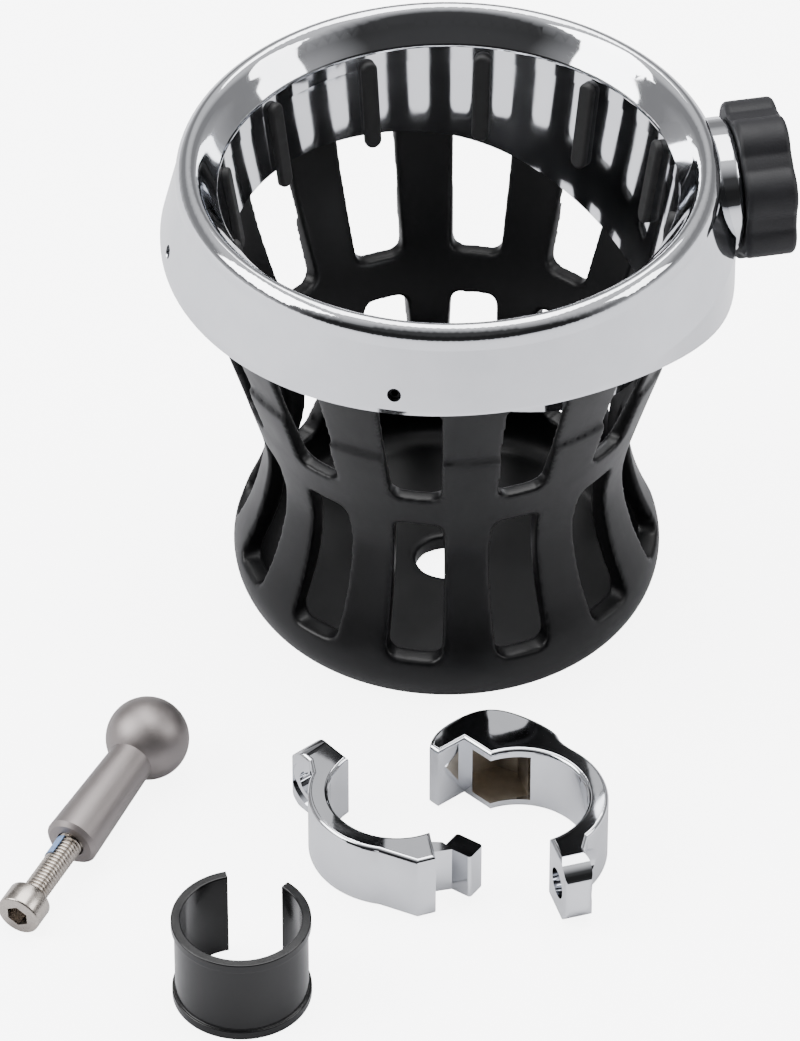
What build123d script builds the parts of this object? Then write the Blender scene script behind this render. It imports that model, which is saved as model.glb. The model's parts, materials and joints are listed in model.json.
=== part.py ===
"""Bar-clamp drink holder with its ball-stud mounting kit laid out beside it.

Millimetres, +Z up. The origin is on the basket's axis, at its underside. The kit lies on the
same floor in front of the basket, towards -Y.
"""
from build123d import *
from math import atan2, cos, degrees, hypot, radians, sin
import os

# ---- chrome ring ----
THROAT = (43.3, 95.6)   # the mouth turns outwards here
THROAT_ROUND = 1.4
FUNNEL = [(46.0, 99.1), (48.9, 101.5), (50.7, 100.2)]
CREASE = (51.3, 97.3)   # between lip and band
BAND_R = 54.3           # outer band at its foot
BAND_TURN_Z = 85.0      # below this the band is upright
BAND_WALL = 1.8
SKIRT_WALL = 1.0
SKIRT_TOP = (42.9, 92.6)
SKIRT_MID = (39.7, 71.0)
SKIRT_FOOT = (37.9, 59.0)
# lower edges as (x, z): both drop towards the socket
BAND_EDGE = [(-60, 83.6), (-30, 83.6), (0, 84.4), (22, 84.4), (34, 83.2), (42, 81.2),
             (49.6, 77.6), (54.3, 74.2), (60, 69)]
SKIRT_EDGE = [(-60, 80.5), (-34, 79.8), (-15, 78.2), (0, 76.2), (12, 73.0), (24, 68.2),
              (36, 63.0), (60, 56)]

# ---- ball socket and collar nut ----
SOCKET_ANGLE = 11.8
SOCKET_Z = 87.6
BALL_R = 7.95
BALL_SEAT_R = 8.05
BALL_CENTRE_R = 56.4    # where the stud's ball sits, from the basket's axis
NECK_R = 10.4
NECK_END = 59.6
BOSS_R, BOSS_END = 12.9, 54.5   # flat-faced boss that the nut closes on
BOSS_ROUND = 1.2
NUT_CLEARANCE = 0.05
NUT_INNER, NUT_OUTER = 54.6, 64.4
NUT_LIP = 62.6
NUT_MOUTH_R = 7.0
NUT_CORE_R = 13.9
NUT_LOBE_R = 5.6
NUT_LOBE_AT = 9.9
NUT_LOBES = 7
NUT_EDGE_ROUND = 1.1
COLLET_R, COLLET_BORE_R = 10.1, 6.2

# ---- basket ----
OUTER_PROFILE = [(34.0, 0), (37.6, 1.0), (40.4, 4.6), (41.4, 10), (38.7, 18),
                 (35.5, 30), (37.5, 45), (41.8, 60), (47.6, 79)]
INNER_PROFILE = [(33.0, 3.6), (36.4, 6.0), (37.2, 10), (34.6, 18),
                 (31.6, 30), (34.0, 45), (39.4, 60), (44.4, 79)]
COLLAR_FOOT = (51.6, 86.4)
COLLAR_TOP = (50.0, 92.0)
COLLAR_INNER_R = 46.4
LIP_R, LIP_THICK = 53.1, 1.3
DRAIN_R = 6.0
WINDOWS = 12
WINDOW_PHASE = -98.7
WINDOW_CORNER = 2.2
UPPER_WINDOW = (50.8, 9.5, 79.0, 12.2)   # foot z, foot width, head z, head width
LOWER_WINDOW = (12.0, 10.5, 42.8, 9.0)

# ---- rubber grip fingers ----
FINGER_WIDTH = 3.3
FINGER_THICK = 1.3
FINGER_GAP = 0.09       # its back is flat and the skirt is round
FINGER_TOP, FINGER_FOOT = 94.2, 75.5

# ---- basket set screws ----
SET_SCREW_R = 1.2
SET_SCREW_Z = 88.0
SET_SCREW_IN, SET_SCREW_OUT = 47.4, 52.9
SET_SCREW_SOCKET = 1.3
SET_SCREW_SPREAD = 112.3  # from the socket, to each side

# ---- ball stud and clamp screw, measured from the ball's centre ----
BALL_AT = (-56.4, -58.1)
STUD_HEADING = 243.3
STUD_DIP = 4.2
POST_ROOT_R, POST_END_R = 4.3, 5.2
POST_END = 30.5
POST_BORE_R, POST_BORE_FOOT = 2.5, 8.0
POST_MOUTH_R, POST_MOUTH_FOOT = 2.8, 22.5
SCREW_R = 2.45
SCREW_TIP, SCREW_HEAD = 15.0, 45.8
HEAD_R, HEAD_LENGTH = 4.25, 5.0
HEX_ACROSS, HEX_DEPTH = 4.0, 2.8
PATCH_IN_R, PATCH_OUT_R = 2.47, 2.65
PATCH_SPAN = (31.0, 35.6)
PATCH_ARC = (-75, 30)

# ---- clamp halves: drawn as they close on a bar, bar axis at the origin ----
BAR_R = 12.7
CLAMP_HEIGHT = 14.4
CLAMP_OUT_R = 16.6
EAR_END = 22.8
EAR_HOLE_Y = 17.4
EAR_HOLE_R = 3.0
EAR_ROUND = 5.0         # its end is rounded like a lug
SPOT_FACE_R, SPOT_FACE_DEPTH = 5.0, 0.5
TONGUE_Z = (2.15, 12.25)
POCKET_Z = (1.8, 12.6)
HALF_A_AT, HALF_A_TURN = (-9.1, -79.3), 41.0
HALF_B_AT, HALF_B_TURN = (13.9, -80.7), 17.5

# ---- reducer sleeve ----
SLEEVE_AT = (-37.2, -118.6)
SLEEVE_BORE_R, SLEEVE_R, SLEEVE_FLANGE_R = 11.1, 12.35, 12.9
SLEEVE_HEIGHT, SLEEVE_FLANGE = 18.6, 1.9
SLEEVE_GAP = (49.0, 104.0)


def radial_plane(angle, r, z):
    """Plane across a radius: x runs anticlockwise, y runs up, z runs outwards."""
    c, s = cos(radians(angle)), sin(radians(angle))
    return Plane(origin=(r * c, r * s, z), x_dir=(-s, c, 0), z_dir=(c, s, 0))


def polar(r, angle):
    return (r * cos(radians(angle)), r * sin(radians(angle)))


def turned(*points):
    """A closed outline of (radius, height) points turned about the Z axis."""
    return revolve(Plane.XZ * make_face(Polyline(*points, close=True)), Axis.Z)


def ring(r_in, r_out, z0, z1):
    return turned((r_in, z0), (r_out, z0), (r_out, z1), (r_in, z1))


def below_edge(points, offset=0):
    """Everything under a lower-edge curve, shifted by offset."""
    curve = Spline(*[(x, z + offset) for x, z in points])
    frame = Polyline(curve @ 1, (points[-1][0], 0), (points[0][0], 0), curve @ 0)
    return extrude(Plane.XZ * make_face([curve, frame]), 60, both=True)


# ================= chrome ring =================
def make_ring_housing():
    outer_wall, inner_wall = BAND_R, BAND_R - BAND_WALL
    lip = Spline(THROAT, *FUNNEL, CREASE, tangents=[(0.62, 0.78), (0.05, -1)])
    rest = Polyline(CREASE, (outer_wall, BAND_TURN_Z), (outer_wall, 60), (inner_wall, 60),
                    (inner_wall, BAND_TURN_Z), (49.9, 96.4), (48.9, 98.9), (47.6, 98.4),
                    (SKIRT_TOP[0] + SKIRT_WALL + 0.3, 94.0),
                    (SKIRT_TOP[0] + SKIRT_WALL, SKIRT_TOP[1]), SKIRT_TOP, THROAT)
    section = make_face([lip, rest])
    bend = section.vertices().sort_by_distance((*THROAT, 0))[0]
    section = fillet(bend, THROAT_ROUND)
    shell = revolve(Plane.XZ * section, Axis.Z) - below_edge(BAND_EDGE)
    skirt = turned(SKIRT_TOP, SKIRT_MID, SKIRT_FOOT,
                   (SKIRT_FOOT[0] + SKIRT_WALL, SKIRT_FOOT[1]),
                   (SKIRT_MID[0] + SKIRT_WALL, SKIRT_MID[1]),
                   (SKIRT_TOP[0] + SKIRT_WALL, SKIRT_TOP[1])) - below_edge(SKIRT_EDGE)
    neck_start = 42.6
    neck = extrude(Circle(NECK_R), NECK_END - neck_start)
    boss = extrude(Circle(BOSS_R), BOSS_END - neck_start)
    boss = fillet(boss.edges().filter_by(GeomType.CIRCLE).sort_by(Axis.Z)[-1], BOSS_ROUND)
    neck = radial_plane(SOCKET_ANGLE, neck_start, SOCKET_Z) * (neck + boss)
    throat = turned((0, 55), (SKIRT_FOOT[0], 55), SKIRT_FOOT, SKIRT_MID, SKIRT_TOP, THROAT,
                    *FUNNEL[:2], (0, FUNNEL[1][1]))
    neck = neck - throat
    ball_space = radial_plane(SOCKET_ANGLE, BALL_CENTRE_R, SOCKET_Z) * (
        Sphere(BALL_SEAT_R) + extrude(Circle(BALL_SEAT_R), 10))
    holes = [radial_plane(a, 46, SET_SCREW_Z) * extrude(Circle(SET_SCREW_R + 0.1), 10)
             for a in set_screw_angles()]
    return shell + skirt + neck - ball_space - holes


def set_screw_angles():
    return [SOCKET_ANGLE - SET_SCREW_SPREAD, SOCKET_ANGLE + SET_SCREW_SPREAD,
            SOCKET_ANGLE + 180]


def make_grip_finger(index):
    """A rounded rubber strip lying on the inside of the skirt, over a window column."""
    lean = degrees(atan2(SKIRT_TOP[0] - SKIRT_MID[0], SKIRT_TOP[1] - SKIRT_MID[1]))
    slope = (SKIRT_TOP[0] - SKIRT_MID[0]) / (SKIRT_TOP[1] - SKIRT_MID[1])
    mid_z = (FINGER_TOP + FINGER_FOOT) / 2
    surface_r = SKIRT_MID[0] + slope * (mid_z - SKIRT_MID[1])
    plane = radial_plane(WINDOW_PHASE + 360 / WINDOWS * index, surface_r, mid_z)
    strip = extrude(SlotOverall(FINGER_TOP - FINGER_FOOT, FINGER_WIDTH, rotation=90),
                    -FINGER_THICK)
    face = strip.faces().sort_by(Axis.Z)[0]
    strip = fillet(face.edges(), 0.6)
    return plane * (Rot(lean, 0, 0) * (Pos(0, 0, -FINGER_GAP) * strip))


# ================= basket =================
def basket_wall():
    outer = Spline(*OUTER_PROFILE, tangents=[(1, 0), (0.34, 1)])
    inner = Spline(*INNER_PROFILE)
    top = Polyline(outer @ 1, (49.0, COLLAR_FOOT[1]), COLLAR_FOOT, COLLAR_TOP,
                   (COLLAR_INNER_R, COLLAR_TOP[1]), inner @ 1)
    floor = Polyline(inner @ 0, (0, INNER_PROFILE[0][1]), (0, 0), outer @ 0)
    return revolve(Plane.XZ * make_face([outer, inner, top, floor]), Axis.Z)


def window_cutter(angle, spec):
    foot_z, foot_w, head_z, head_w = spec
    outline = make_face(Polyline((-foot_w / 2, foot_z), (foot_w / 2, foot_z),
                                 (head_w / 2, head_z), (-head_w / 2, head_z), close=True))
    outline = fillet(outline.vertices(), WINDOW_CORNER)
    return extrude(radial_plane(angle, 24, 0) * outline, 36)


def make_basket():
    body = basket_wall()
    lip = turned(INNER_PROFILE[-2], INNER_PROFILE[-1], (COLLAR_INNER_R, COLLAR_TOP[1]),
                 (LIP_R, COLLAR_TOP[1]), (LIP_R, INNER_PROFILE[-2][1]))
    lip = (lip & below_edge(BAND_EDGE, -0.1)) - below_edge(BAND_EDGE, -0.1 - LIP_THICK)
    cutters = [window_cutter(WINDOW_PHASE + 360 / WINDOWS * k, spec)
               for k in range(WINDOWS) for spec in (UPPER_WINDOW, LOWER_WINDOW)]
    socket_room = radial_plane(SOCKET_ANGLE, 36, SOCKET_Z) * extrude(Circle(BOSS_R + 0.5), 30)
    screws = [radial_plane(a, SET_SCREW_IN, SET_SCREW_Z) * extrude(Circle(SET_SCREW_R), 10)
              for a in set_screw_angles()]
    drain = extrude(Circle(DRAIN_R), 8)
    return body - cutters + lip - socket_room - screws - drain


def make_set_screw(angle):
    plane = radial_plane(angle, SET_SCREW_IN, SET_SCREW_Z)
    length = SET_SCREW_OUT - SET_SCREW_IN
    socket = RegularPolygon(SET_SCREW_SOCKET / 2, 6, major_radius=False)
    screw = extrude(Circle(SET_SCREW_R), length) - Pos(0, 0, length - 1.5) * extrude(socket, 2)
    return plane * screw


# ================= collar nut and collet =================
def make_collet_ring():
    """Pushes on the ball from outside when the nut is screwed in."""
    plane = radial_plane(SOCKET_ANGLE, 0, SOCKET_Z)
    body = Pos(0, 0, NECK_END + 0.05) * extrude(Circle(COLLET_R), NUT_LIP - NECK_END - 0.1)
    ball = Pos(0, 0, BALL_CENTRE_R) * Sphere(BALL_SEAT_R)
    return plane * (body - ball - extrude(Circle(COLLET_BORE_R), 80))


def make_collar_nut():
    plane = radial_plane(SOCKET_ANGLE, 0, SOCKET_Z)
    lobes = [Pos(*polar(NUT_LOBE_AT, 360 / NUT_LOBES * k)) * Circle(NUT_LOBE_R)
             for k in range(NUT_LOBES)]
    outline = Circle(NUT_CORE_R) + lobes
    outline = fillet(outline.vertices(), 2.0)
    body = Pos(0, 0, NUT_INNER) * extrude(outline, NUT_OUTER - NUT_INNER)
    body = fillet([e for f in body.faces().filter_by(Axis.Z) for e in f.edges()], NUT_EDGE_ROUND)
    body = body - extrude(Circle(NECK_R + NUT_CLEARANCE), NUT_LIP)
    return plane * (body - extrude(Circle(NUT_MOUTH_R), 80))


# ================= ball stud and screw =================
def stud_plane():
    flat = cos(radians(STUD_DIP))
    heading = (flat * cos(radians(STUD_HEADING)), flat * sin(radians(STUD_HEADING)),
               -sin(radians(STUD_DIP)))
    return Plane(origin=(*BALL_AT, BALL_R), x_dir=(heading[1], -heading[0], 0), z_dir=heading)


def make_ball_stud():
    post = turned((0, 5), (POST_ROOT_R, 5), (POST_END_R, POST_END - 0.8),
                  (POST_END_R - 0.8, POST_END), (0, POST_END))
    bore = Pos(0, 0, POST_BORE_FOOT) * extrude(Circle(POST_BORE_R), 40)
    mouth = Pos(0, 0, POST_MOUTH_FOOT) * extrude(Circle(POST_MOUTH_R), 40)
    return stud_plane() * (Sphere(BALL_R) + post - bore - mouth)


def make_clamp_screw():
    shank = turned((0, SCREW_TIP), (SCREW_R - 0.6, SCREW_TIP), (SCREW_R, SCREW_TIP + 0.6),
                   (SCREW_R, SCREW_HEAD + 1), (0, SCREW_HEAD + 1))
    head = Pos(0, 0, SCREW_HEAD) * extrude(Circle(HEAD_R), HEAD_LENGTH)
    head = chamfer(head.edges().filter_by(GeomType.CIRCLE).sort_by(Axis.Z)[-1], 0.4)
    socket = RegularPolygon(HEX_ACROSS / 2, 6, major_radius=False)
    socket = Pos(0, 0, SCREW_HEAD + HEAD_LENGTH - HEX_DEPTH) * extrude(socket, HEX_DEPTH + 1)
    return stud_plane() * (shank + head - socket)


def make_thread_patch():
    """Dried thread-locking film on one side of the thread, beside the post."""
    start, end = PATCH_ARC
    wedge = extrude(make_face(Polyline((0, 0), polar(9, start), polar(9, (start + end) / 2),
                                       polar(9, end), close=True)), 60)
    return stud_plane() * (ring(PATCH_IN_R, PATCH_OUT_R, *PATCH_SPAN) & wedge)


# ================= clamp halves =================
def ear_tools(x_inner, x_outer):
    """Screw hole through an ear, with a spot face where the head or post bears."""
    way = 1 if x_outer > x_inner else -1
    hole = Plane(origin=(x_inner - 5 * way, EAR_HOLE_Y, CLAMP_HEIGHT / 2),
                 z_dir=(way, 0, 0)) * extrude(Circle(EAR_HOLE_R), 25)
    spot = Plane(origin=(x_outer - SPOT_FACE_DEPTH * way, EAR_HOLE_Y, CLAMP_HEIGHT / 2),
                 z_dir=(way, 0, 0)) * extrude(Circle(SPOT_FACE_R), 12)
    return hole + spot


def rounded_prism(outline, corner, rim):
    solid = extrude(outline, CLAMP_HEIGHT)
    ends = [e for e in solid.edges().filter_by(Axis.Z) if abs(e.center().Y - EAR_END) < 0.1]
    solid = fillet(ends, corner)
    flat = [e for f in solid.faces().filter_by(Axis.Z) for e in f.edges()]
    solid = fillet(flat, rim)
    side = make_face(Polyline((-40, 0), (EAR_END, 0), (EAR_END, CLAMP_HEIGHT),
                              (-40, CLAMP_HEIGHT), close=True))
    side = fillet(side.vertices().group_by(Axis.X)[-1], EAR_ROUND)
    return solid & extrude(Plane.YZ * side, 40, both=True)


def make_half_a():
    """The half with the hammer-head tongue."""
    inner, outer = -1.0, -7.0
    start, end = degrees(atan2(12.66, inner)), 258.5
    saddle = ThreePointArc((inner, 12.66), (-BAR_R, 0), polar(BAR_R, end))
    back = ThreePointArc(polar(CLAMP_OUT_R, 218), (-CLAMP_OUT_R, 0), polar(CLAMP_OUT_R, 122))
    foot = Polyline(polar(BAR_R, end), (-6.4, -18.7), (-9.8, -17.4), polar(CLAMP_OUT_R, 218))
    ear = Polyline(polar(CLAMP_OUT_R, 122), (outer, 17.0), (outer, EAR_END), (inner, EAR_END),
                   (inner, 12.66))
    body = rounded_prism(make_face([saddle, foot, back, ear]), 1.2, 0.8)
    low, high = TONGUE_Z
    neck = make_face(Polyline((-3.4, -12.6), (-1.3, -14.6), (-1.0, -17.4), (-6.2, -14.6),
                              close=True))
    head = Pos(1.1, -17.9) * Rot(0, 0, -75) * Rectangle(5.8, 4.2)
    head = fillet(head.vertices(), 0.6)
    tongue = Pos(0, 0, low) * extrude(head + neck, high - low)
    half = body + tongue - ear_tools(inner, outer)
    return Pos(*HALF_A_AT, 0) * Rot(0, 0, HALF_A_TURN) * half


def make_half_b():
    """The half with the pocket that the tongue hooks into. It lies turned over."""
    inner, outer = 1.8, 7.2
    saddle = ThreePointArc(polar(BAR_R, 81.8), (BAR_R, 0), polar(BAR_R, -97.7))
    claw = Polyline(polar(BAR_R, -97.7), (-5.0, -18.5), (-10.9, -16.1), (-12.0, -18.2))
    hump = Spline((-12.0, -18.2), (-6.4, -23.6), (1.5, -25.2), (7.8, -21.0), (12.0, -14.4),
                  polar(CLAMP_OUT_R, -33),
                  tangents=[(0.4, -1), (sin(radians(33)), cos(radians(33)))])
    back = ThreePointArc(polar(CLAMP_OUT_R, -33), (CLAMP_OUT_R, 0), polar(CLAMP_OUT_R, 58))
    ear = Polyline(polar(CLAMP_OUT_R, 58), (outer, 17.0), (outer, EAR_END), (inner, EAR_END),
                   polar(BAR_R, 81.8))
    body = rounded_prism(make_face([saddle, claw, hump, back, ear]), 1.2, 0.8)
    low, high = POCKET_Z
    pocket = make_face(Polyline((-4.0, -10), (5.8, -8), (5.8, -19.2), (2.6, -22.3),
                                (-4.0, -21.4), close=True))
    half = body - Pos(0, 0, low) * extrude(pocket, high - low) - ear_tools(inner, outer)
    return Pos(*HALF_B_AT, CLAMP_HEIGHT) * Rot(0, 0, HALF_B_TURN) * Rot(180, 0, 0) * half


# ================= reducer sleeve =================
def make_sleeve():
    """A C-shaped tube with a rounded flange at each end."""
    foot, head = SLEEVE_FLANGE, SLEEVE_HEIGHT - SLEEVE_FLANGE
    section = make_face(Polyline(
        (SLEEVE_BORE_R, 0), (SLEEVE_FLANGE_R, 0), (SLEEVE_FLANGE_R, foot), (SLEEVE_R, foot),
        (SLEEVE_R, head), (SLEEVE_FLANGE_R, head), (SLEEVE_FLANGE_R, SLEEVE_HEIGHT),
        (SLEEVE_BORE_R, SLEEVE_HEIGHT), close=True))
    section = fillet(section.vertices(), 0.25)
    tube = revolve(Plane.XZ * section, Axis.Z)
    wedge = Polyline((0, 0), polar(40, SLEEVE_GAP[0]), polar(40, SLEEVE_GAP[1]), close=True)
    tube = tube - extrude(make_face(wedge), SLEEVE_HEIGHT)
    return Pos(*SLEEVE_AT, 0) * tube


def main():
    parts = {"ring_housing": make_ring_housing(), "basket": make_basket(),
             "collet_ring": make_collet_ring(), "collar_nut": make_collar_nut(),
             "ball_stud": make_ball_stud(), "clamp_screw": make_clamp_screw(),
             "thread_patch": make_thread_patch(), "clamp_half_a": make_half_a(),
             "clamp_half_b": make_half_b(), "reducer_sleeve": make_sleeve()}
    for k in range(WINDOWS):
        parts[f"grip_finger_{k + 1:02d}"] = make_grip_finger(k)
    for k, angle in enumerate(set_screw_angles()):
        parts[f"basket_screw_{k + 1}"] = make_set_screw(angle)
    os.makedirs("parts", exist_ok=True)
    for name, shape in parts.items():
        export_step(shape, f"parts/{name}.step")


main()
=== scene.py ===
import json
from math import cos, pi, radians, sin

import bpy
from bpy.props import FloatProperty, FloatVectorProperty, IntProperty, PointerProperty
from bpy.types import Operator, Panel, PropertyGroup
from mathutils import Matrix, Vector

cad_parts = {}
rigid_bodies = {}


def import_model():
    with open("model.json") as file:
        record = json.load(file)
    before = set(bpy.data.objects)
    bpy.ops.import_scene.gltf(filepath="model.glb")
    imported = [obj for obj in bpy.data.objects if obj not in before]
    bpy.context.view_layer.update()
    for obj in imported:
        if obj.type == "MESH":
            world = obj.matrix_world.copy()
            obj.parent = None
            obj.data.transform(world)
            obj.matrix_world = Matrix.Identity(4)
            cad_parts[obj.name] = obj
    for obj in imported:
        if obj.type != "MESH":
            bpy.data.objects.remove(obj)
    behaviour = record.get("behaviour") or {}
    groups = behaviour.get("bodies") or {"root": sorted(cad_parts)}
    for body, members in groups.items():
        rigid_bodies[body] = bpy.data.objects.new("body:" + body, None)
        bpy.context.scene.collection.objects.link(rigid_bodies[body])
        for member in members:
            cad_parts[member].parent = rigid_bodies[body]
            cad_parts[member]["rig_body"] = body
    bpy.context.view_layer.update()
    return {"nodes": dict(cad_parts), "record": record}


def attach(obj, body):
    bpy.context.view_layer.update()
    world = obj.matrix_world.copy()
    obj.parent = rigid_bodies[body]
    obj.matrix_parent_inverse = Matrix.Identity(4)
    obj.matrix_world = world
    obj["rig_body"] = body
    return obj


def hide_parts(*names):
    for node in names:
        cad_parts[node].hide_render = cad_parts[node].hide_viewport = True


bl_info = {
    "name": "Bar-clamp drink holder",
    "version": (1, 0, 0),
    "blender": (4, 5, 0),
    "location": "3D View > Sidebar > Drink holder",
    "description": "Finishes a slotted drink basket, its chrome ring and its clamp kit",
    "category": "Object",
}

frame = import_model()
MM = 0.001
# tongue pocket in the second clamp half: middle, turn and half sizes
POCKET_CENTRE, POCKET_TURN, POCKET_HALF = (9.56, -63.61, 7.2), radians(17.5), (4.9, 4.8, 5.45)
BASKET_TRIANGLES = 170000

# ball stud's frame: its ball's centre, the way its post points, and how far that dips
BALL_CENTRE, STUD_HEADING, STUD_DIP = (-56.4, -58.1, 7.95), radians(243.3), radians(4.2)
# clamp screw, with heights along its axis from the ball's centre
SHANK_R, SHANK_LENGTH, SHANK_MIDDLE, SHANK_TIP_BEVEL = 0.00245, 0.031, 0.0305, 0.0004
THREAD_START, THREAD_END, THREAD_STEPS = 0.0158, 0.0462, 40
# thread ridge: half its foot and half its crest in pitches, and how deep it sinks in the core
RIDGE_FOOT, RIDGE_CREST, RIDGE_SINK = 0.46, 0.1, 0.00008
HEAD_R, HEAD_HEIGHT, HEAD_MIDDLE = 0.00425, 0.005, 0.0483
HEAD_TOP_BEVEL, HEAD_FOOT_BEVEL = 0.00045, 0.0003
HEX_R, HEX_HEIGHT, HEX_MIDDLE = 0.00231, 0.004, 0.05

# studio: what the camera's place is measured from, its lens, and the softboxes, each with
# its name, place, width and watts
CAMERA_PIVOT_Z, CAMERA_SENSOR_MM, CAMERA_LENS_MM, CAMERA_REACH = 0.06, 36, 276.66, 20
SOFTBOXES = [("overhead", (0.1, 0.45, 1.5), 1.3, 32), ("left", (-1.18, -0.15, 1.0), 0.95, 26),
             ("right", (1.3, -0.1, 0.85), 0.6, 7)]
SOFTBOX_AIM = (0, -0.02, 0.05)
# brightness of the room from level and below (0) to straight up (1)
ROOM_GREYS = [(0, 0.75), (0.06, 0.5), (0.2, 0.3), (0.42, 0.3), (0.6, 0.8), (1.0, 1.0)]
CAMERA_SIDE_GREYS = [(0, 0.08), (1, 1.0)]
# the room's camera side darkens between these two values of a direction's Y
CAMERA_SIDE_DARK, CAMERA_SIDE_LIGHT = -0.62, -0.28
FLOOR_GLOW_ON_METAL = 0.06


# ------------------------------------------------------------------ colours and nodes
def linear(hex_colour):
    """An sRGB hex colour as linear RGBA."""
    values = [int(hex_colour[i:i + 2], 16) / 255 for i in (1, 3, 5)]
    return [v / 12.92 if v <= 0.04045 else ((v + 0.055) / 1.055) ** 2.4 for v in values] + [1.0]


def add(tree, kind, settings=None, **links):
    """Adds a node, sets its properties and inputs, and links any input given an output."""
    node = tree.nodes.new(kind)
    for key, value in (settings or {}).items():
        setattr(node, key, value)
    for name, value in links.items():
        socket = node.inputs[name.replace("_", " ")]
        if isinstance(value, bpy.types.NodeSocket):
            tree.links.new(value, socket)
        else:
            socket.default_value = value
    return node


def new_material(name, **shader_values):
    """A material whose shader has its fixed values set on its own sockets."""
    material = bpy.data.materials.new(name)
    material.use_nodes = True
    tree = material.node_tree
    shader = tree.nodes["Principled BSDF"]
    for key, value in shader_values.items():
        shader.inputs[key.replace("_", " ")].default_value = value
    place = add(tree, "ShaderNodeTexCoord").outputs["Object"]
    return material, tree, shader, place


def grain(tree, place, size_mm, detail=3.0, roughness=0.6):
    """Noise whose features are about size_mm across."""
    return add(tree, "ShaderNodeTexNoise", None, Vector=place, Scale=1 / (size_mm * MM),
               Detail=detail, Roughness=roughness).outputs["Fac"]


def bump(tree, shader, height, depth_mm, strength=1.0):
    """Raises the surface by a height pattern."""
    node = add(tree, "ShaderNodeBump", None, Height=height, Distance=depth_mm * MM,
               Strength=strength)
    tree.links.new(node.outputs["Normal"], shader.inputs["Normal"])


def vary(tree, factor, low, high):
    """Spreads a 0 to 1 factor over low to high."""
    return add(tree, "ShaderNodeMapRange", None, Value=factor, From_Min=0.3, From_Max=0.7,
               To_Min=low, To_Max=high).outputs["Result"]


def blend_colours(tree, factor, first, second):
    """Mixes two colours, each a hex value or another node's output."""
    node = add(tree, "ShaderNodeMix", {"data_type": "RGBA"})
    tree.links.new(factor, node.inputs[0])
    for index, colour in ((6, first), (7, second)):
        if isinstance(colour, str):
            node.inputs[index].default_value = linear(colour)
        else:
            tree.links.new(colour, node.inputs[index])
    return node.outputs[2]


def blend_values(tree, factor, first, second):
    """Mixes two values, each a number or another node's output."""
    node = add(tree, "ShaderNodeMix", {"data_type": "FLOAT"})
    tree.links.new(factor, node.inputs[0])
    for index, value in ((2, first), (3, second)):
        if isinstance(value, bpy.types.NodeSocket):
            tree.links.new(value, node.inputs[index])
        else:
            node.inputs[index].default_value = value
    return node.outputs[0]


def inside_box(tree, place, centre_mm, turn, half_mm):
    """1 inside a box turned about the vertical, 0 outside it."""
    local = add(tree, "ShaderNodeMapping", {"vector_type": "TEXTURE"}, Vector=place,
                Location=[v * MM for v in centre_mm], Rotation=(0, 0, turn),
                Scale=[v * MM for v in half_mm]).outputs["Vector"]
    size = add(tree, "ShaderNodeVectorMath", {"operation": "ABSOLUTE"})
    tree.links.new(local, size.inputs[0])
    axes = add(tree, "ShaderNodeSeparateXYZ", None, Vector=size.outputs["Vector"])
    widest = axes.outputs["X"]
    for other in ("Y", "Z"):
        node = add(tree, "ShaderNodeMath", {"operation": "MAXIMUM"})
        tree.links.new(widest, node.inputs[0])
        tree.links.new(axes.outputs[other], node.inputs[1])
        widest = node.outputs["Value"]
    test = add(tree, "ShaderNodeMath", {"operation": "LESS_THAN"})
    tree.links.new(widest, test.inputs[0])
    test.inputs[1].default_value = 1.0
    return test.outputs["Value"]


def mottle(tree, shader, pattern, colours, roughness):
    """Lets one pattern shift both the colour and the roughness."""
    tree.links.new(blend_colours(tree, pattern, *colours), shader.inputs["Base Color"])
    tree.links.new(vary(tree, pattern, *roughness), shader.inputs["Roughness"])


# ------------------------------------------------------------------ materials
def polished_chrome():
    """Decorative chrome plate on a buffed zinc casting: mirror bright, with faint buffing haze.
    Plating doesn't reach into the tongue pocket, so its walls stay brownish bare zinc."""
    material, tree, shader, place = new_material("polished_chrome", Metallic=1.0)
    haze = grain(tree, place, 9.0, 4.0)
    bare = inside_box(tree, place, POCKET_CENTRE, POCKET_TURN, POCKET_HALF)
    stain = grain(tree, place, 2.5, 4.0)
    plated = blend_colours(tree, haze, "#D4D6DA", "#E6E7EA")
    zinc = blend_colours(tree, stain, "#A3988A", "#CFC7BA")
    tree.links.new(blend_colours(tree, bare, plated, zinc), shader.inputs["Base Color"])
    gloss = blend_values(tree, bare, vary(tree, haze, 0.03, 0.07), vary(tree, stain, 0.32, 0.5))
    tree.links.new(gloss, shader.inputs["Roughness"])
    # the casting's gentle waviness, about 14 mm from crest to crest
    bump(tree, shader, grain(tree, place, 14.0, 1.0), 0.02, 0.12)
    return material


def satin_nylon():
    """Moulded glass-filled nylon: near black, with the low sheen of an eroded mould face."""
    material, tree, shader, place = new_material("satin_nylon", IOR=1.53, Specular_IOR_Level=0.24)
    patch = grain(tree, place, 12.0)
    mottle(tree, shader, patch, ("#070708", "#0B0B0D"), (0.33, 0.43))
    # eroded grain is about 0.15 mm; drawn at 0.4 mm so that it can show
    bump(tree, shader, grain(tree, place, 0.4), 0.02, 0.35)
    return material


def grained_nut_plastic():
    """Moulded nylon with a coarser grip grain: matte and slightly grey."""
    material, tree, shader, place = new_material("grained_nut_plastic", IOR=1.53, Specular_IOR_Level=0.3)
    patch = grain(tree, place, 6.0)
    mottle(tree, shader, patch, ("#151517", "#1D1D21"), (0.5, 0.62))
    bump(tree, shader, grain(tree, place, 0.45), 0.06, 0.7)
    return material


def grip_rubber():
    """Moulded thermoplastic rubber: black, dull and very slightly dusty."""
    material, tree, shader, place = new_material("grip_rubber", IOR=1.5)
    dust = grain(tree, place, 3.0)
    mottle(tree, shader, dust, ("#0C0C0D", "#151516"), (0.55, 0.7))
    return material


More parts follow.
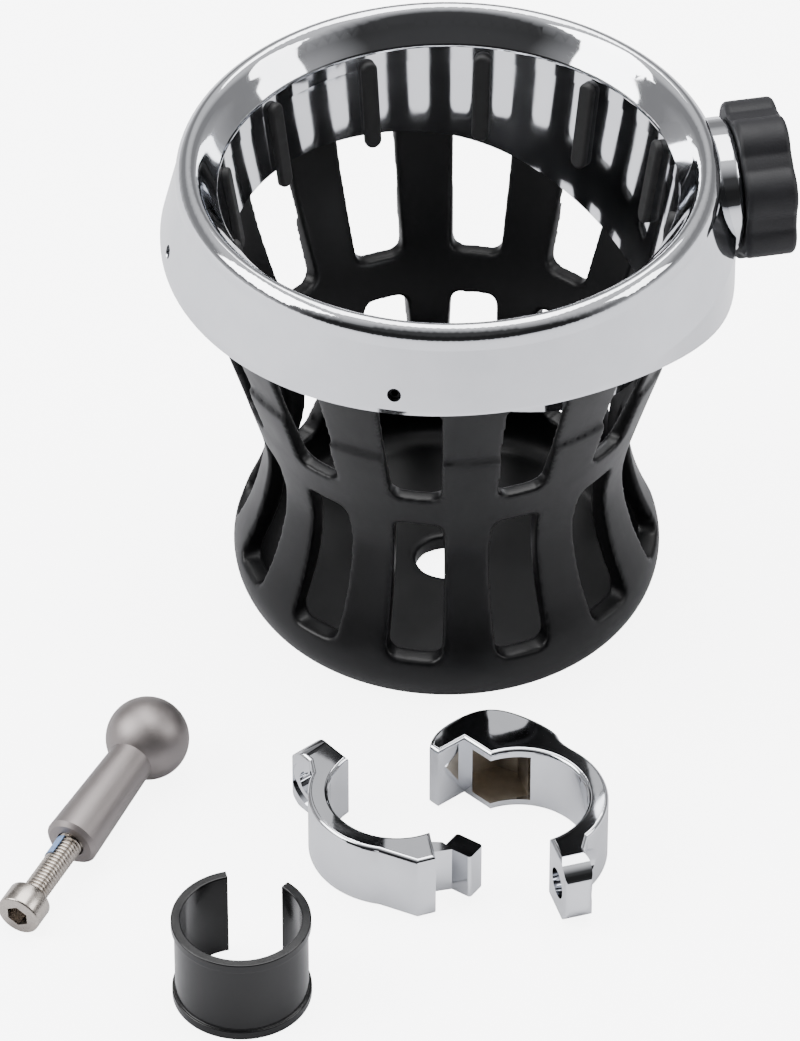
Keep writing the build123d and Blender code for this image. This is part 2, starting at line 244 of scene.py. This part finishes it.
def bead_blasted_steel():
    """Steel blasted with glass bead: an even warm grey with a soft broad highlight."""
    material, tree, shader, place = new_material("bead_blasted_steel", Metallic=1.0)
    patch = grain(tree, place, 5.0)
    mottle(tree, shader, patch, ("#888280", "#979190"), (0.44, 0.52))
    # bead dimples are about 0.1 mm; drawn at 0.25 mm so that they can show
    bump(tree, shader, grain(tree, place, 0.25), 0.03, 0.6)
    return material


def rolled_screw_steel():
    """Stainless screw as rolled: bright on the crests, with a warm satin film."""
    material, tree, shader, place = new_material("rolled_screw_steel", Metallic=1.0)
    patch = grain(tree, place, 1.6)
    mottle(tree, shader, patch, ("#A29B94", "#BDB6AE"), (0.2, 0.34))
    return material


def thread_film():
    """Dried thread-locking resin: dull blue, thin and uneven."""
    material, tree, shader, place = new_material("thread_film", IOR=1.5)
    patch = grain(tree, place, 0.8)
    mottle(tree, shader, patch, ("#44659A", "#8FA6C6"), (0.45, 0.6))
    return material


def gloss_black_plastic():
    """Polished-mould ABS: deep black with sharp reflections and faint handling marks."""
    material, tree, shader, place = new_material("gloss_black_plastic", IOR=1.54, Specular_IOR_Level=0.34)
    marks = grain(tree, place, 4.0)
    mottle(tree, shader, marks, ("#050506", "#080809"), (0.14, 0.24))
    return material


def black_oxide_steel():
    """Black-oxide grub screws: dark, oily and slightly metallic."""
    material, tree, shader, place = new_material("black_oxide_steel", Metallic=1.0)
    patch = grain(tree, place, 0.8)
    mottle(tree, shader, patch, ("#19191A", "#262627"), (0.35, 0.5))
    return material


MATERIALS = {
    "chrome": polished_chrome, "basket_black": satin_nylon, "nut_black": grained_nut_plastic,
    "rubber_black": grip_rubber, "stud_metal": bead_blasted_steel,
    "screw_steel": rolled_screw_steel, "thread_film": thread_film,
    "sleeve_black": gloss_black_plastic, "set_screw_black": black_oxide_steel,
}
made = {}


def finish_of(slot_name):
    """The material for one of the record's slots, made once."""
    if slot_name not in made:
        made[slot_name] = MATERIALS[slot_name]()
    return made[slot_name]


def slot_of(node):
    """The record's material slot of a node."""
    return next(s["material_slot"] for s in frame["record"]["subparts"] if s["node"] == node)


def deselect():
    """Leaves edit mode with nothing selected."""
    if bpy.context.object and bpy.context.object.mode != "OBJECT":
        bpy.ops.object.mode_set(mode="OBJECT")
    bpy.ops.object.select_all(action="DESELECT")


def pick(piece):
    """Makes a piece the only one selected."""
    deselect()
    piece.select_set(True)
    bpy.context.view_layer.objects.active = piece


def apply_modifier(piece, kind, **settings):
    """Adds a modifier with its settings and applies it."""
    pick(piece)
    modifier = piece.modifiers.new(kind.lower(), kind)
    for key, value in settings.items():
        setattr(modifier, key, value)
    bpy.ops.object.modifier_apply(modifier=modifier.name)


def hand_over(piece, node):
    """Gives a finished piece its name, finish, body and the CAD node it stands for."""
    slot_name = slot_of(node)
    piece.name = node + "_finished"
    piece.data.materials.append(finish_of(slot_name))
    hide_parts(node)
    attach(piece, frame["nodes"][node]["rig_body"])


def copy_of(node):
    """A merged, selectable copy of a CAD node's mesh."""
    source = frame["nodes"][node]
    piece = bpy.data.objects.new(node + "_copy", source.data.copy())
    piece.data.materials.clear()
    bpy.context.scene.collection.objects.link(piece)
    pick(piece)
    bpy.ops.object.mode_set(mode="EDIT")
    bpy.ops.mesh.select_all(action="SELECT")
    bpy.ops.mesh.remove_doubles(threshold=0.000005)
    bpy.ops.object.mode_set(mode="OBJECT")
    return piece


# ------------------------------------------------------------------ sizes a user may change
class DrinkHolderSizes(PropertyGroup):
    basket_voxel: FloatProperty(name="Basket grid", default=0.00042, unit="LENGTH",
                                description="Grid that softens the basket's moulded edges")
    basket_softening: IntProperty(name="Basket softening", default=16,
                                  description="How many times the basket's edges are smoothed")
    thread_pitch: FloatProperty(name="Screw pitch", default=0.0008, unit="LENGTH",
                                description="Rise of the clamp screw's thread in one turn")
    thread_depth: FloatProperty(name="Thread depth", default=0.00036, unit="LENGTH",
                                description="How deep the clamp screw's thread is cut")
    floor_size: FloatProperty(name="Floor size", default=12.0, unit="LENGTH",
                              description="Width of the pale floor")
    camera_distance: FloatProperty(name="Camera distance", default=1.524, unit="LENGTH",
                                   description="From the camera to the middle of the holder")
    camera_height_angle: FloatProperty(name="Camera elevation", default=radians(39.23),
                                       subtype="ANGLE",
                                       description="How high the camera stands over the holder")
    camera_tilt: FloatProperty(name="Camera tilt", default=radians(40.58), subtype="ANGLE",
                               description="How far the camera looks down")
    camera_swing: FloatProperty(name="Camera swing", default=radians(0.44), subtype="ANGLE",
                                description="How far the camera turns to the left")
    floor_glow: FloatProperty(name="Floor glow", default=6.0,
                              description="How brightly the floor is lit from under")
    floor_colour: FloatVectorProperty(name="Floor", size=3, subtype="COLOR",
                                      default=linear("#D8D8DB")[:3],
                                      description="Colour of the studio floor")


# ------------------------------------------------------------------ stage
class HOLDER_OT_stage(Operator):
    """Sets the floor, the studio light and the camera"""
    bl_idname = "holder.stage"
    bl_label = "Stage"

    def execute(self, context):
        sizes = context.scene.drink_holder
        self.floor(sizes)
        self.surroundings(context)
        self.lights()
        self.camera(context, sizes)
        return {"FINISHED"}

    def floor(self, sizes):
        deselect()
        bpy.ops.mesh.primitive_plane_add(size=sizes.floor_size, location=(0, 0, 0))
        floor = bpy.context.object
        floor.name = "studio_floor"
        material, tree, shader, _ = new_material(
            "pale_floor", Roughness=0.75, Specular_IOR_Level=0.2,
            Base_Color=[*sizes.floor_colour, 1], Emission_Color=(1, 1, 1, 1))
        # it glows to the eye only, so that it shows white without glaring into the metal
        seen = add(tree, "ShaderNodeLightPath").outputs["Is Camera Ray"]
        glow = add(tree, "ShaderNodeMapRange", None, Value=seen, To_Min=FLOOR_GLOW_ON_METAL,
                   To_Max=sizes.floor_glow)
        tree.links.new(glow.outputs["Result"], shader.inputs["Emission Strength"])
        floor.data.materials.append(material)

    def surroundings(self, context):
        """A light room whose camera side is dark, which gives polished metal its contrast."""
        world = bpy.data.worlds.new("studio")
        context.scene.world = world
        world.use_nodes = True
        tree = world.node_tree
        place = add(tree, "ShaderNodeTexCoord").outputs["Generated"]
        axes = add(tree, "ShaderNodeSeparateXYZ", None, Vector=place)
        room = self.grey_ramp(tree, axes.outputs["Z"], ROOM_GREYS)
        toward_camera = add(tree, "ShaderNodeMapRange", None, Value=axes.outputs["Y"],
                            From_Min=CAMERA_SIDE_DARK, From_Max=CAMERA_SIDE_LIGHT)
        shade = self.grey_ramp(tree, toward_camera.outputs["Result"], CAMERA_SIDE_GREYS)
        mixed = add(tree, "ShaderNodeMix", {"data_type": "RGBA", "blend_type": "MULTIPLY"})
        mixed.inputs[0].default_value = 1.0
        tree.links.new(room, mixed.inputs[6])
        tree.links.new(shade, mixed.inputs[7])
        tree.links.new(mixed.outputs[2], tree.nodes["Background"].inputs["Color"])
        tree.nodes["Background"].inputs["Strength"].default_value = 1.0

    def grey_ramp(self, tree, value, stops):
        """Greys, with a trace of blue, over a 0 to 1 value."""
        ramp = add(tree, "ShaderNodeValToRGB", None, Fac=value)
        elements = ramp.color_ramp.elements
        for position, grey in stops[1:-1]:
            elements.new(position)
        for element, (position, grey) in zip(elements, stops):
            element.position = position
            element.color = (grey, grey, grey * 1.01, 1)
        return ramp.outputs["Color"]

    def lights(self):
        for name, place, size, watts in SOFTBOXES:
            deselect()
            bpy.ops.object.light_add(type="AREA", location=place)
            light = bpy.context.object
            light.name = name + "_softbox"
            light.data.shape = "SQUARE"
            light.data.size = size
            light.data.energy = watts
            aim = Vector(SOFTBOX_AIM) - Vector(place)
            light.rotation_euler = aim.to_track_quat("-Z", "Y").to_euler()

    def camera(self, context, sizes):
        deselect()
        reach = sizes.camera_distance
        place = (0, -reach * cos(sizes.camera_height_angle),
                 CAMERA_PIVOT_Z + reach * sin(sizes.camera_height_angle))
        turn = (pi / 2 - sizes.camera_tilt, 0, sizes.camera_swing)
        bpy.ops.object.camera_add(location=place, rotation=turn)
        camera = bpy.context.object
        camera.data.sensor_width = CAMERA_SENSOR_MM
        camera.data.lens = CAMERA_LENS_MM
        camera.data.clip_end = CAMERA_REACH
        context.scene.camera = camera


# ------------------------------------------------------------------ pieces
class HOLDER_OT_finish_parts(Operator):
    """Gives every part its own finish"""
    bl_idname = "holder.finish_parts"
    bl_label = "Finish parts"

    def execute(self, context):
        for name, node in frame["nodes"].items():
            node.data.materials.clear()
            node.data.materials.append(finish_of(slot_of(name)))
        return {"FINISHED"}


class HOLDER_OT_basket(Operator):
    """Softens the basket's ribs and window edges as a moulding has them"""
    bl_idname = "holder.basket"
    bl_label = "Basket"

    def execute(self, context):
        piece = copy_of("basket")
        sizes = context.scene.drink_holder
        apply_modifier(piece, "REMESH", mode="VOXEL", voxel_size=sizes.basket_voxel,
                       use_smooth_shade=True)
        apply_modifier(piece, "SMOOTH", factor=0.5, iterations=sizes.basket_softening)
        faces = sum(len(p.vertices) - 2 for p in piece.data.polygons)
        apply_modifier(piece, "DECIMATE", ratio=min(1.0, BASKET_TRIANGLES / faces))
        hand_over(piece, "basket")
        return {"FINISHED"}


class HOLDER_OT_clamp_screw(Operator):
    """Cuts the clamp screw's thread and models its socket head"""
    bl_idname = "holder.clamp_screw"
    bl_label = "Clamp screw"

    def execute(self, context):
        sizes = context.scene.drink_holder
        thread = self.thread(sizes)
        shank = self.shank(sizes)
        head = self.head()
        deselect()
        for piece in (thread, shank, head):
            piece.select_set(True)
        context.view_layer.objects.active = head
        bpy.ops.object.join()
        heading = Vector((cos(STUD_DIP) * cos(STUD_HEADING), cos(STUD_DIP) * sin(STUD_HEADING),
                          -sin(STUD_DIP)))
        side = Vector((heading.y, -heading.x, 0)).normalized()
        turn = Matrix((side, heading.cross(side), heading)).transposed()
        head.matrix_world = Matrix.Translation([v * MM for v in BALL_CENTRE]) @ turn.to_4x4()
        pick(head)
        bpy.ops.object.transform_apply(location=True, rotation=True, scale=True)
        bpy.ops.object.shade_smooth_by_angle(angle=radians(35))
        hand_over(head, "clamp_screw")
        return {"FINISHED"}

    def thread(self, sizes):
        """A ridge with sloping flanks, wound up the shank."""
        rise = sizes.thread_pitch
        root = SHANK_R - sizes.thread_depth - RIDGE_SINK
        deselect()
        bpy.ops.mesh.primitive_plane_add(size=1, location=(0, 0, 0))
        ridge = bpy.context.object
        bpy.ops.object.mode_set(mode="EDIT")
        bpy.ops.mesh.delete(type="ONLY_FACE")
        bpy.ops.object.mode_set(mode="OBJECT")
        corners = [(root, -RIDGE_FOOT), (SHANK_R, -RIDGE_CREST), (SHANK_R, RIDGE_CREST),
                   (root, RIDGE_FOOT)]
        # the plane's corners taken round its outline, so that its edges stay the section's
        order = sorted(ridge.data.vertices, key=lambda v: (v.co.y, v.co.x))
        order = [order[0], order[1], order[3], order[2]]
        for vertex, (out, up) in zip(order, corners):
            vertex.co = (out, 0, THREAD_START + up * rise)
        turns = int((THREAD_END - THREAD_START) / rise)
        apply_modifier(ridge, "SCREW", angle=2 * pi, screw_offset=rise, iterations=turns,
                       steps=THREAD_STEPS, render_steps=THREAD_STEPS,
                       use_normal_calculate=True)
        return ridge

    def shank(self, sizes):
        """The core under the thread, tapered at its tip."""
        core = SHANK_R - sizes.thread_depth
        shank = self.bar(48, core, SHANK_LENGTH, SHANK_MIDDLE)
        self.chamfer(shank, lambda z: z < SHANK_MIDDLE, SHANK_TIP_BEVEL, 1)
        return shank

    def head(self):
        """A plain cylindrical head with softened rims and a hexagon socket."""
        head = self.bar(96, HEAD_R, HEAD_HEIGHT, HEAD_MIDDLE)
        self.chamfer(head, lambda z: z > HEAD_MIDDLE, HEAD_TOP_BEVEL, 4)
        self.chamfer(head, lambda z: z < HEAD_MIDDLE, HEAD_FOOT_BEVEL, 3)
        socket = self.bar(6, HEX_R, HEX_HEIGHT, HEX_MIDDLE)
        apply_modifier(head, "BOOLEAN", operation="DIFFERENCE", solver="EXACT", object=socket)
        bpy.data.objects.remove(socket)
        return head

    def bar(self, sides, radius, length, middle):
        """A round or many-sided bar along the screw's axis, with its place in its mesh."""
        deselect()
        bpy.ops.mesh.primitive_cylinder_add(vertices=sides, radius=radius, depth=length,
                                            location=(0, 0, middle))
        bpy.ops.object.transform_apply(location=True, rotation=False, scale=False)
        return bpy.context.object

    def chamfer(self, piece, chosen, width, segments):
        """Bevels the rim whose height passes the test."""
        for vertex in piece.data.vertices:
            vertex.select = chosen(vertex.co.z)
        for edge in piece.data.edges:
            edge.select = all(piece.data.vertices[v].select for v in edge.vertices)
        for face in piece.data.polygons:
            face.select = all(piece.data.vertices[v].select for v in face.vertices)
        pick(piece)
        bpy.ops.object.mode_set(mode="EDIT")
        bpy.ops.mesh.region_to_loop()
        bpy.ops.mesh.bevel(offset=width, segments=segments)
        bpy.ops.object.mode_set(mode="OBJECT")


class HOLDER_PT_panel(Panel):
    bl_idname = "HOLDER_PT_panel"
    bl_label = "Drink holder"
    bl_space_type = "VIEW_3D"
    bl_region_type = "UI"
    bl_category = "Drink holder"

    def draw(self, context):
        for operator in OPERATORS:
            self.layout.operator(operator.bl_idname)
        for name in DrinkHolderSizes.__annotations__:
            self.layout.prop(context.scene.drink_holder, name)


OPERATORS = (HOLDER_OT_stage, HOLDER_OT_finish_parts, HOLDER_OT_basket, HOLDER_OT_clamp_screw)
CLASSES = (DrinkHolderSizes, *OPERATORS, HOLDER_PT_panel)


def register():
    for cls in CLASSES:
        bpy.utils.register_class(cls)
    bpy.types.Scene.drink_holder = PointerProperty(type=DrinkHolderSizes)


def unregister():
    del bpy.types.Scene.drink_holder
    for cls in reversed(CLASSES):
        bpy.utils.unregister_class(cls)


def main():
    register()
    bpy.ops.holder.stage()
    bpy.ops.holder.finish_parts()
    bpy.ops.holder.basket()
    bpy.ops.holder.clamp_screw()
    deselect()


if __name__ == "__main__":
    main()
